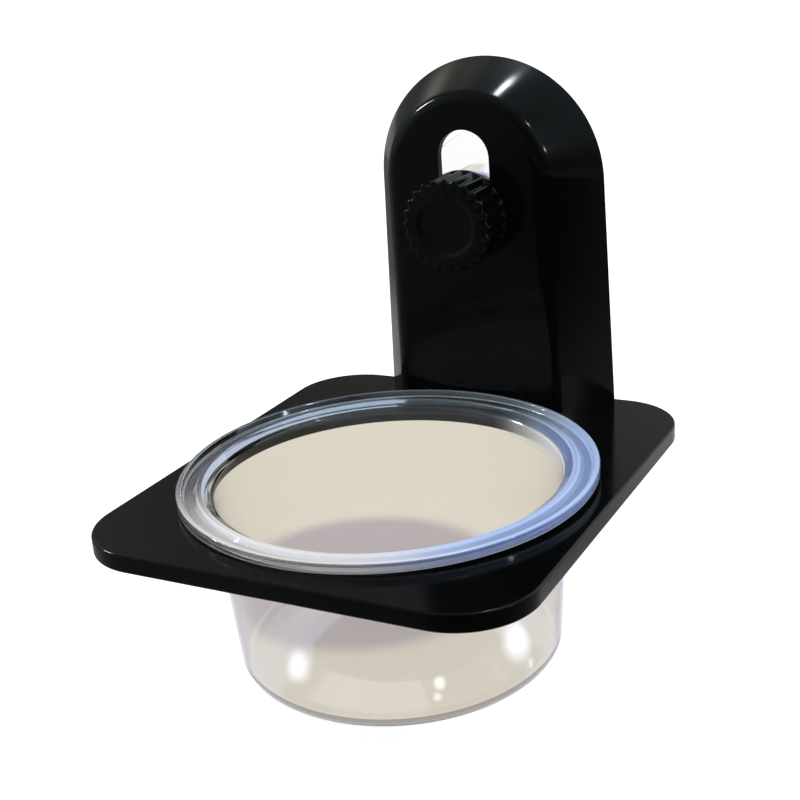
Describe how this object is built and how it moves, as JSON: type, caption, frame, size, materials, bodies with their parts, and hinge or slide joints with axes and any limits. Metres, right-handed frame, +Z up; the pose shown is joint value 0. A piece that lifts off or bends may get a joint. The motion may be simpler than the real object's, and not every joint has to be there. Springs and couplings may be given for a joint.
{
  "type": "feeder breeding box",
  "caption": "Feeding ledge for a glass tank: a plate with an arched, slotted upright held by a suction cup and a knurled knob, and a clear cup that lifts out of the plate's round hole.",
  "frame": {"origin": "on the glass plane, at the middle of the plate's rear edge", "axes": "+Y into the glass, +Z up, +X to the right as seen from the front"},
  "size_m": [0.1, 0.1131, 0.1247],
  "materials": {
    "black_plastic": "polished black moulding",
    "knob_plastic": "satin black moulding",
    "clear_plastic": "clear, with a faint blue tint",
    "clear_rubber": "clear soft PVC",
    "steel": "bright zinc plate",
    "brass": "machined"
  },
  "bodies": {
    "ledge": {"bracket": "black_plastic"},
    "cup": {"feeding_cup": "clear_plastic"},
    "clamp": {"suction_cup": "clear_rubber", "stud_screw": "steel"},
    "washer": {"knob_washer": "steel"},
    "knob": {"knob": "knob_plastic", "knob_insert": "brass"}
  },
  "joints": [
    {"name": "cup_lift", "type": "slide", "parent": "ledge", "child": "cup", "axis": [0, 0, 1], "range_m": [0, 0.029]},
    {"name": "stud_slide", "type": "slide", "parent": "ledge", "child": "clamp", "axis": [0, 0, 1], "range_m": [-0.004, 0.0135]},
    {"name": "knob_run", "type": "slide", "parent": "clamp", "child": "washer", "axis": [0, -1, 0], "range_m": [0, 0.0033]},
    {"name": "knob_turn", "type": "hinge", "parent": "washer", "child": "knob", "pos_m": [0, -0.0204, 0.0501], "axis": [0, -1, 0], "range_deg": [0, 1440]}
  ],
  "couplings": [
    {"joint": "knob_run", "follows": "knob_turn", "m_per_rad": 0.00012732}
  ]
}
